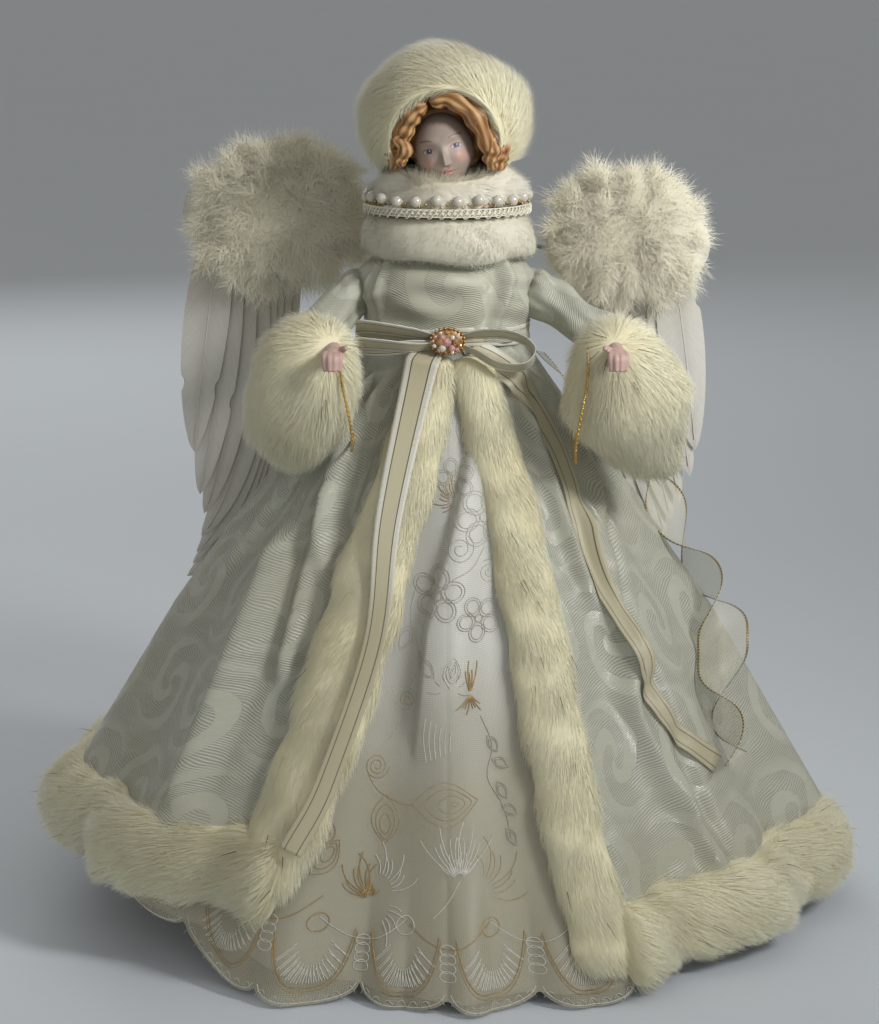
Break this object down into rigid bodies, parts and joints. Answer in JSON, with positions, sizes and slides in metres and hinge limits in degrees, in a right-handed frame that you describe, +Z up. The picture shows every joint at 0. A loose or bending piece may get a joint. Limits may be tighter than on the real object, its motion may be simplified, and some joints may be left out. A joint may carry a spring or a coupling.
{
  "type": "angel tree topper",
  "caption": "Angel tree topper: porcelain-headed figure in a fur-trimmed brocade robe over an embroidered organza apron, with feather wings, on a hollow cone that drops over a tree's top.",
  "frame": {"origin": "foot of the card cone's axis, on the surface the part stands on", "axes": "+Z up, the face and the open front of the robe towards -Y, left and right as the viewer sees the front"},
  "size_m": [0.3753, 0.3017, 0.391],
  "materials": {
    "card": "rolled and glued card",
    "foam": "expanded foam core",
    "wood": "plain dowel",
    "porcelain": "painted bisque",
    "fur": "long-pile faux fur with metallic strands",
    "plush": "short-pile plush",
    "brocade": "satin figured brocade",
    "satin": "satin",
    "organza": "sheer, embroidered",
    "net": "stiff net",
    "ribbon": "sheer ribbon with metallic edges",
    "braid": "metallic braid",
    "gilt": "polished",
    "stone": "faceted acrylic stones",
    "pearl": "pearl",
    "feather": "marabou down and stripped goose feathers",
    "wire": "bright drawn wire"
  },
  "bodies": {
    "figure": {"body_cone": "card", "torso_core": "foam", "bodice": "satin", "petticoat": "net", "hem_wire": "wire", "underskirt": "satin", "organza_apron": "organza", "robe_left_panel": "brocade", "robe_right_panel": "brocade", "robe_back_panel": "brocade", "front_fur_left": "fur", "front_fur_right": "fur", "hem_fur_left": "fur", "hem_fur_right": "fur", "hem_fur_back": "fur", "waist_ribbon": "ribbon", "bow_loop_left": "ribbon", "bow_loop_right": "ribbon", "bow_knot": "ribbon", "brooch_setting": "gilt", "brooch_stones": "stone", "ribbon_tail_left": "ribbon", "ribbon_tail_right": "ribbon", "cowl_collar": "plush", "gimp_braid": "braid", "pearl_string": "pearl", "fur_collar": "fur", "porcelain_head": "porcelain", "neck_dowel": "wood", "fur_hat": "fur", "wing_mount_pad": "card", "side_ribbon_left": "ribbon", "side_ribbon_right": "ribbon"},
    "left_arm": {"arm_wire_left": "wire", "sleeve_left": "brocade", "fur_cuff_left": "fur", "cuff_braid_left": "braid", "porcelain_hand_left": "porcelain"},
    "right_arm": {"arm_wire_right": "wire", "sleeve_right": "brocade", "fur_cuff_right": "fur", "cuff_braid_right": "braid", "porcelain_hand_right": "porcelain"},
    "left_wing": {"wing_wire_left": "wire", "wing_plate_left": "card", "marabou_left": "feather", "feather_left_1": "feather", "feather_left_2": "feather", "feather_left_3": "feather", "feather_left_4": "feather", "feather_left_5": "feather"},
    "right_wing": {"wing_wire_right": "wire", "wing_plate_right": "card", "marabou_right": "feather", "feather_right_1": "feather", "feather_right_2": "feather", "feather_right_3": "feather", "feather_right_4": "feather", "feather_right_5": "feather"}
  },
  "joints": [
    {"name": "left_arm_raise", "type": "hinge", "parent": "figure", "child": "left_arm", "pos_m": [-0.036, 0, 0.284], "axis": [-1, 0, 0], "range_deg": [0, 45]},
    {"name": "right_arm_raise", "type": "hinge", "parent": "figure", "child": "right_arm", "pos_m": [0.036, 0, 0.284], "axis": [-1, 0, 0], "range_deg": [0, 45]},
    {"name": "left_wing_fold", "type": "hinge", "parent": "figure", "child": "left_wing", "pos_m": [-0.016, 0.03896, 0.284], "axis": [0, 0, -1], "range_deg": [-8, 30]},
    {"name": "right_wing_fold", "type": "hinge", "parent": "figure", "child": "right_wing", "pos_m": [0.016, 0.03896, 0.284], "axis": [0, 0, 1], "range_deg": [-8, 30]}
  ]
}
